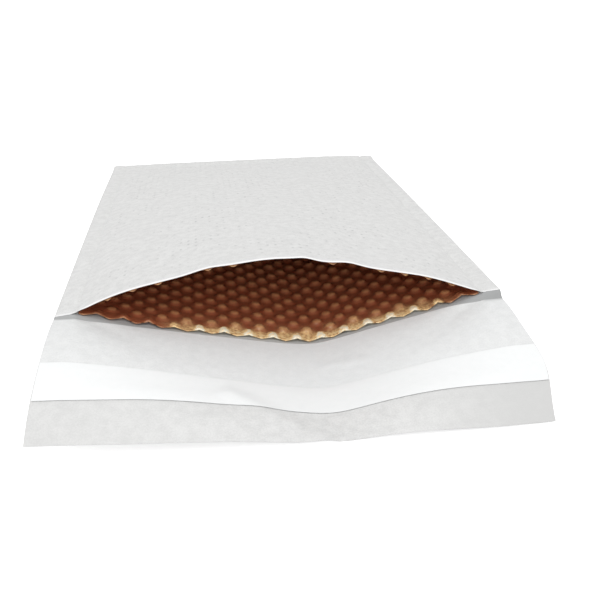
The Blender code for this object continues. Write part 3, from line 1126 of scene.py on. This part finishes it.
@dataclass
class BubbleLining:
    """The brown bubble film, folded with its bubbles towards the contents.

    Each slack is a least share, a start and a width, spot_size is two half axes, and
    crown_row is a centre and a width. glow_left and glow_right are a reach from the middle
    and a width, and the other pairs are a start and a width. peeking numbers the cells
    across whose bubbles hang out under the lip.
    """

    web: FoldedWeb
    lattice: Lattice
    outer_depth: float = 0.00055
    film: float = 0.0004
    film_share: float = 0.6
    radius: float = 0.0036
    height: float = 0.0018
    flat_top: float = 0.42
    crown_clearance: float = 0.00015
    setback: float = 0.001
    lip_setback: float = 0.0025
    edge_advance: float = 0.0026
    edge_stretch: float = 0.080
    margin_setback: float = 0.005
    corner_reach: float = 0.0009
    scallop: float = 0.0007
    side_setback: float = 0.0016
    crushed_edge: float = 0.002
    edge_wave: float = 0.0012
    edge_reach: float = 0.0045
    peek_depth: float = 0.0013
    peek_reach: float = 0.0035
    glow_depth: float = 0.0064
    glow_share: float = 0.48
    spot_size: tuple[float, float] = (0.0030, 0.0044)
    spot_share: float = 0.78
    crown_row: tuple[float, float] = (0.0105, 0.0035)
    crown_share: float = 0.12
    rim_depth: float = 0.0007
    rim_share: float = 0.10
    lip_depth: float = 0.0045
    lip_share: float = 0.18
    near_rows_back: int = 14
    near_rows_front: int = 2
    near_steps: int = 7
    far_steps: int = 3
    side_columns: int = 4
    turn_rows: int = 6
    weld_gap: float = 0.00008
    front_slack: tuple[float, float, float] = (0.12, 0.0055, 0.003)
    back_slack: tuple[float, float, float] = (0.45, 0.003, 0.005)
    wave_fade: float = 0.008
    wave_least: float = 0.15
    lip_fade: float = 0.006
    peeking: tuple[int, ...] = (-7, -6, -5, -3, -2, 2, 4, 5, 6, 7)
    scallop_middle: float = 0.005
    scallop_growth: tuple[float, float] = (0.045, 0.030)
    glow_left: tuple[float, float] = (0.065, 0.030)
    glow_right: tuple[float, float] = (0.092, 0.036)
    inner_tone: tuple[float, float] = (0.010, 0.060)

    def columns(self) -> np.ndarray:
        """Lines across the inner face: a fixed number for each bubble, and the seams.

        Returns:
            Places across.
        """
        half = self.lattice.pitch_u / 2
        bubbles = int((self.web.seam_line - self.crushed_edge) / half)
        inner = np.arange(-bubbles * self.near_steps, bubbles * self.near_steps + 1)
        edge = self.web.half_width - self.side_setback
        seam = self.web.seam_line
        side = np.array([seam - self.corner_reach, seam, (seam + edge) / 2, edge])
        return np.concatenate([-side[::-1], inner * half / self.near_steps, side])

    def panel(self, near_rows: int) -> np.ndarray:
        """Lines along one panel from the mouth: close near it, wider inside.

        Args:
            near_rows: Number of rows of bubbles that have close lines.

        Returns:
            Distances from the mouth.
        """
        near = np.arange(near_rows * self.near_steps) / self.near_steps
        far_count = (self.last_row() + 1 - near_rows) * self.far_steps
        far = near_rows + np.arange(far_count + 1) / self.far_steps
        return self.setback + self.lattice.row_step * np.concatenate([near, far])

    def last_row(self) -> int:
        """Number of the last row of bubbles before the fold."""
        room = self.web.half_web - math.pi / 2 * self.web.cushion - self.radius
        return int((room - self.lattice.first_row) / self.lattice.row_step)

    def rise(self, u: np.ndarray, t: np.ndarray) -> np.ndarray:
        """Height of the bubbles, 0 to 1: flat-topped domes on a staggered lattice.

        Args:
            u: Places across, rows by columns.
            t: Distances from the mouth, rows by columns.

        Returns:
            Rows by columns of shares.
        """
        best = np.zeros_like(u)
        for step in (-1, 0, 1):
            j = self.lattice.row(t) + step
            i = self.lattice.column(u, j)
            ring = np.hypot(*self.lattice.offset(u, t, j)) / self.radius
            dome = 1 - smooth((ring - self.flat_top) / (1 - self.flat_top))
            swell = 0.93 + 0.07 * np.sin(i * 2.3 + j * 1.1) * np.cos(j * 1.9 - i * 0.7)
            dome = np.where((j >= 0) & (j <= self.last_row()), dome * swell, 0.0)
            best = np.maximum(best, dome)
        return best

    def slack(self, s: np.ndarray) -> np.ndarray:
        """How much air a bubble keeps, 0 to 1: those cut at the mouth's edges lie flat.

        Args:
            s: Places along the web, rows by columns.

        Returns:
            Rows by columns of shares.
        """
        edges = ((s, self.front_slack), (self.web.mouth - s, self.back_slack))
        kept = [least + (1 - least) * smooth((from_edge - start) / width)
                for from_edge, (least, start, width) in edges]
        return np.minimum(*kept)

    def film_depth(self, us: np.ndarray) -> np.ndarray:
        """Depth of the inner film between bubbles, meeting the other layer at the seams.

        Args:
            us: Places across, one per column.

        Returns:
            Depths in metres, one per column.
        """
        room = self.web.turn_radius(us) - self.outer_depth
        depth = self.outer_depth + np.minimum(self.film, room * self.film_share)
        seam = self.web.seam_half - self.weld_gap
        return np.where(np.abs(us) >= self.web.seam_line - TINY, seam, depth)

    def wave(self, u: np.ndarray, s: np.ndarray) -> np.ndarray:
        """Lift of the cut edges where they run through a bubble.

        At the back panel it is a raised cosine across the envelope, once a pitch, that
        fades with the distance from the edge as a bell curve, and along the seams. At
        the front panel some cut bubbles hang out under the lip.

        Args:
            u: Places across, rows by columns.
            s: Places along the web, rows by columns.

        Returns:
            Rows by columns of lifts in metres.
        """
        arch = (0.5 - 0.5 * self.lattice.ripple(u)) ** 3
        fade = np.exp(-((self.web.mouth - self.setback - s) / self.edge_reach) ** 2)
        inside = smooth((self.web.seam_line - np.abs(u)) / self.wave_fade)
        uneven = 0.8 + 0.2 * np.sin(u * 173.0 + 1.0)
        hanging = self.peek_depth * self.peek(u) * np.exp(-(s / self.peek_reach) ** 2)
        share = self.wave_least + (1 - self.wave_least) * arch
        lifted = self.edge_wave * share * fade * uneven
        return (lifted + hanging) * inside

    def peek(self, u: np.ndarray) -> np.ndarray:
        """Where bubbles cut at the front panel's edge bulge out under the lip, 0 to 1."""
        arch = (0.5 + 0.5 * self.lattice.ripple(u)) ** 3
        return arch * np.isin(np.round(u / self.lattice.pitch_u), self.peeking)

    def set_back_lip(self, u: np.ndarray, s: np.ndarray) -> np.ndarray:
        """Squeeze the first lines of the front panel, so its edge lies behind the lip.

        Args:
            u: Places across, rows by columns.
            s: Places along the web, rows by columns.

        Returns:
            The moved places along the web.
        """
        limit = self.setback + self.lattice.row_step
        inside = smooth((self.web.seam_line - np.abs(u)) / self.lip_fade)
        uneven = 1 + 0.12 * np.sin(u * 61.0) + 0.08 * np.sin(u * 149.0 + 2.0)
        move = (self.lip_setback - self.setback) * inside * uneven * (1 - self.peek(u))
        move = move + self.margin_setback * (1 - inside)
        return np.where(s < limit, s + move * (limit - s) / (limit - self.setback), s)

    def advance_edge(self, u: np.ndarray, s: np.ndarray) -> np.ndarray:
        """Stretch the last lines of the back panel, whose cut edge sags over the mouth line.

        The advance is a smooth hump between the corners, more to the left of the middle.
        Along it the edge is scalloped: a cosine once a pitch, drawn back at each arch.

        Args:
            u: Places across, rows by columns.
            s: Places along the web, rows by columns.

        Returns:
            The moved places along the web.
        """
        limit = self.web.mouth - self.setback - self.edge_stretch
        outside = smooth((np.abs(u) - self.web.seam_line) / self.corner_reach + 1)
        move = self.edge_advance * self.web.edge_hump(u) * (1 + 0.15 * np.sin(u * 90.0))
        share = np.clip((s - limit) / self.edge_stretch, 0.0, 1.0)
        from_edge = self.web.mouth - self.setback - s
        near = np.clip(1 - from_edge / self.lattice.row_step, 0.0, 1.0)
        start, width = self.scallop_growth
        growth = smooth((np.abs(u - self.scallop_middle) - start) / width)
        size = self.scallop * (1 + growth)
        drawn = size * self.lattice.ripple(u) * (1 - outside)
        return s + move * share + (drawn - self.margin_setback * outside) * near

    @staticmethod
    def cap(first: int, inner: np.ndarray, outs: np.ndarray) -> list[list[int]]:
        """Faces that close one mouth edge between the inner and the outer columns.

        Args:
            first: Number of the edge row's first point.
            inner: Inner column numbers, one for each outer column, from left to right.
            outs: Outer column numbers, from left to right.

        Returns:
            Triangles: a fan from each outer point, and one to the next outer point.
        """
        faces = []
        for left, right, a, b in zip(inner, inner[1:], outs, outs[1:]):
            middle = (left + right) // 2
            faces += [[a, k, k + 1] for k in range(left, middle)]
            faces += [[a, middle, b]]
            faces += [[b, k, k + 1] for k in range(middle, right)]
        return [[first + k for k in face] for face in faces]

    def build(self, film: bpy.types.Material) -> bpy.types.Object:
        """Make the lining as one closed skin: bubbled inside, smooth outside.

        The columns run over the inner face and back over the outer face, so the grid
        closes on itself, and each mouth edge is closed by thin faces between the two.

        Args:
            film: Its finish.

        Returns:
            The piece.
        """
        web = self.web
        us = self.columns()
        back = web.mouth - self.panel(self.near_rows_back)
        front = self.panel(self.near_rows_front)
        ss = np.concatenate([front, web.turn_rows(self.turn_rows), back[::-1]])
        u, s = np.meshgrid(us, ss)
        t = np.minimum(s, web.mouth - s)
        rise = self.rise(u, t) * self.slack(s) * (np.abs(u) < web.seam_line - TINY)
        base = self.film_depth(us)
        room = np.maximum(web.turn_radius(us) - base - self.crown_clearance, 0.0)
        inside = base[None, :] + rise * np.minimum(self.height, room)[None, :]

        edges, count = self.side_columns, len(us)
        picked = np.concatenate([np.arange(edges), np.arange(edges, count - edges, self.near_steps),
                                 np.arange(count - edges, count)])
        outs = us[picked][::-1]
        both_u = np.concatenate([us, outs])
        outside = np.full((len(ss), len(outs)), self.outer_depth)
        depth = np.concatenate([inside, outside], axis=1)
        every_u, every_s = np.meshgrid(both_u, ss)
        depth = depth + self.wave(every_u, every_s)
        places = self.advance_edge(every_u, self.set_back_lip(every_u, every_s))

        points = web.lay(both_u, places, depth).reshape(-1, 3)
        columns = len(both_u)
        faces = [face[::-1] for face in grid_faces(len(ss), columns, closed=True)]
        outer_numbers = columns - 1 - np.arange(len(outs))
        last = (len(ss) - 1) * columns
        faces += self.cap(0, picked, outer_numbers)
        faces += [face[::-1] for face in self.cap(last, picked, outer_numbers)]
        piece = link_mesh("brown_bubble_lining", points, faces, web_uv(both_u, places))
        set_values(piece, "rise", np.concatenate([rise, np.zeros_like(outside)], axis=1))
        set_values(piece, "glow", self.glow(every_u, every_s))
        # Painted light: the inner share lightens the film deeper inside the mouth
        from_mouth = np.minimum(every_s, web.mouth - every_s)
        start, width = self.inner_tone
        set_values(piece, "inner", smooth((from_mouth - start) / width))
        piece.data.materials.append(film)
        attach(piece, "root")
        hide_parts("bubble_lining")
        return piece

    def glow(self, u: np.ndarray, s: np.ndarray) -> np.ndarray:
        """How far daylight has entered the film from its cut edge, 0 to 1.

        It falls with the distance from the back panel's edge, and is strong in the
        middle, where the film lies on the bright sheet. It is strongest once a pitch,
        in a half-disc where the cut runs through a bubble. The bubbles cut at the lip
        glow a little too.

        Args:
            u: Places across, rows by columns.
            s: Places along the web, rows by columns.

        Returns:
            Rows by columns of shares.
        """
        from_edge = self.web.mouth - self.setback - s
        (left, rise), (right, fall) = self.glow_left, self.glow_right
        middle = smooth((u + left) / rise) * smooth((right - u) / fall)
        uneven = 1 + 0.14 * np.sin(u * 211.0) + 0.10 * np.sin(u * 97.0 + 1.0)
        back = self.glow_share * np.exp(-(from_edge / (self.glow_depth * uneven)) ** 4)
        pitch = self.lattice.pitch_u
        aside = (u / pitch - np.floor(u / pitch) - 0.5) * pitch
        ring = np.hypot(aside / self.spot_size[0], from_edge / self.spot_size[1])
        spots = self.spot_share * (1 - smooth((ring - 0.55) / 0.5))
        crowns = self.crown_share * bell(from_edge, *self.crown_row)
        crowns = crowns * (0.5 + 0.5 * self.lattice.ripple(u))
        rim = self.rim_share * bell(from_edge, 0.0, self.rim_depth)
        lip = self.lip_share * bell(s, 0.0, self.lip_depth)
        return np.clip(np.maximum((back + spots + crowns) * middle, rim) + lip, 0.0, 1.0)


@dataclass
class FlapStrip:
    """A thin strip that lies across the flap's inner face."""

    web: FoldedWeb
    name: str
    node: str
    slot: str
    start: float
    end: float
    reach: float
    depth: float
    thickness: float = 0.0001
    side_depth: float = 0.00015
    step_u: float = 0.0018
    step_s: float = 0.0011

    def build(self, finish: bpy.types.Material) -> bpy.types.Object:
        """Make the strip.

        Args:
            finish: Its finish.

        Returns:
            The piece.
        """
        web = self.web
        us = np.linspace(-self.reach, self.reach, int(2 * self.reach / self.step_u))
        rows = int((self.end - self.start) / self.step_s)
        ss = web.mouth + np.linspace(self.start, self.end, rows)
        _, s = np.meshgrid(us, ss)
        middle = (s - web.mouth - self.start) / (self.end - self.start)
        settled = self.side_depth + (self.depth - self.side_depth) * (1 - (1 - middle) ** 6)
        points = web.lay(us, ss, settled).reshape(-1, 3)
        piece = link_mesh(self.name, points, grid_faces(len(ss), len(us)), web_uv(us, ss))
        thicken(piece, self.thickness)
        piece.data.materials.append(finish)
        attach(piece, "root")
        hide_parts(self.node)
        return piece


# The studio


@dataclass(frozen=True)
class Studio:
    """Floor, light and camera: a pale table under soft light from above."""

    focal_pixels: float = 755.98
    pitch: float = 26.39
    yaw: float = 7.38
    camera_at: tuple[float, float, float] = (-0.03404, -0.43042, 0.18192)
    sensor: float = 36.0
    sky: float = 0.80
    window_size: float = 0.7
    key_power: float = 4.0
    fill_power: float = 2.4
    table: str = "F4F4F4"
    table_lift: float = 0.60
    table_side: float = 3.0
    table_drop: float = 0.0002
    key_at: tuple[float, float, float] = (-0.20, -0.25, 1.42)
    fill_at: tuple[float, float, float] = (0.10, -1.3, 0.40)

    def camera(self) -> None:
        """Place the camera at the photograph's viewing angle."""
        data = bpy.data.cameras.new("camera")
        data.sensor_width = self.sensor
        data.lens = self.focal_pixels / IMAGE_SIDE * self.sensor
        data.clip_start, data.clip_end = 0.01, 20.0
        item = bpy.data.objects.new("camera", data)
        bpy.context.scene.collection.objects.link(item)
        tilt = math.radians(90 - self.pitch)
        item.matrix_world = (Matrix.Translation(Vector(self.camera_at))
                             @ Matrix.Rotation(-math.radians(self.yaw), 4, "Z")
                             @ Matrix.Rotation(tilt, 4, "X"))
        bpy.context.scene.camera = item

    def lamp(self, name: str, at: tuple[float, float, float], power: float) -> None:
        """Add a square soft light that faces the envelope.

        Args:
            name: The lamp's name.
            at: Its place.
            power: Its power in watts.
        """
        data = bpy.data.lights.new(name, "AREA")
        data.shape = "SQUARE"
        data.size = self.window_size
        data.energy = power
        item = bpy.data.objects.new(name, data)
        bpy.context.scene.collection.objects.link(item)
        item.location = at
        item.rotation_euler = (-Vector(at)).to_track_quat("-Z", "Y").to_euler()

    def world(self) -> None:
        """Even daylight, white where the camera looks past the table."""
        world = bpy.data.worlds.new("daylight")
        world.use_nodes = True
        tree = world.node_tree
        tree.nodes.clear()
        path = add_node(tree, "ShaderNodeLightPath")
        seen = add_node(tree, "ShaderNodeMath", {"operation": "MAXIMUM"},
                        {0: path.outputs["Is Camera Ray"], 1: path.outputs["Is Transmission Ray"]})
        strength = add_node(tree, "ShaderNodeMapRange", {"To Min": self.sky, "To Max": 1.0},
                            {"Value": seen.outputs[0]})
        back = add_node(tree, "ShaderNodeBackground", links={"Strength": strength.outputs[0]})
        back.inputs["Color"].default_value = (1.0, 1.0, 1.0, 1.0)
        add_node(tree, "ShaderNodeOutputWorld", links={"Surface": back.outputs[0]})
        bpy.context.scene.world = world

    def floor(self) -> bpy.types.Object:
        """A wide white table top that keeps the envelope's shadow.

        Returns:
            The table top.
        """
        corners = np.array([[-1, -1, 0], [1, -1, 0], [1, 1, 0], [-1, 1, 0]])
        just_below = np.array([0, 0, -self.table_drop])
        top = link_mesh("table_top", corners * self.table_side + just_below, [[0, 1, 2, 3]])
        material = bpy.data.materials.new("white_table")
        material.use_nodes = True
        tree = material.node_tree
        tree.nodes.clear()
        matt = add_node(tree, "ShaderNodeBsdfDiffuse", {"Color": linear(self.table)})
        path = add_node(tree, "ShaderNodeLightPath")
        white = add_node(tree, "ShaderNodeEmission")
        seen = add_node(tree, "ShaderNodeMath", {"operation": "MULTIPLY", 1: self.table_lift},
                        {0: path.outputs["Is Camera Ray"]})
        tree.links.new(seen.outputs[0], white.inputs["Strength"])
        both = add_node(tree, "ShaderNodeAddShader",
                        links={0: matt.outputs[0], 1: white.outputs[0]})
        add_node(tree, "ShaderNodeOutputMaterial", links={"Surface": both.outputs[0]})
        top.data.materials.append(material)
        return top

    def build(self) -> None:
        """Set up the whole studio."""
        scene = bpy.context.scene
        scene.view_settings.view_transform = "Standard"
        self.camera()
        self.world()
        self.floor()
        self.lamp("window_above", self.key_at, self.key_power)
        self.lamp("window_front", self.fill_at, self.fill_power)


def main() -> None:
    """Build the dressed envelope piece by piece."""
    logging.basicConfig(level=logging.INFO, format="%(name)s: %(message)s")
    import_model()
    Studio().build()
    web, lattice = FoldedWeb(), Lattice()
    glue = FlapStrip(web, "glue_strip", "adhesive_strip", "clear_glue", start=0.0452,
                     end=0.0595, reach=0.102, depth=0.00026)
    liner = FlapStrip(web, "release_paper", "release_liner", "siliconised_paper",
                      start=0.0421, end=0.0618, reach=0.1075, depth=0.00042)
    pieces = [
        OuterSheet(web, lattice).build(MattWhiteFilm(lattice).make()),
        BubbleLining(web, lattice).build(BrownBubbleFilm().make()),
        glue.build(ClearGlue().make()),
        liner.build(ReleasePaper().make()),
    ]
    for piece in pieces:
        LOG.info("%s: %d points", piece.name, len(piece.data.vertices))


if __name__ == "__main__":
    main()
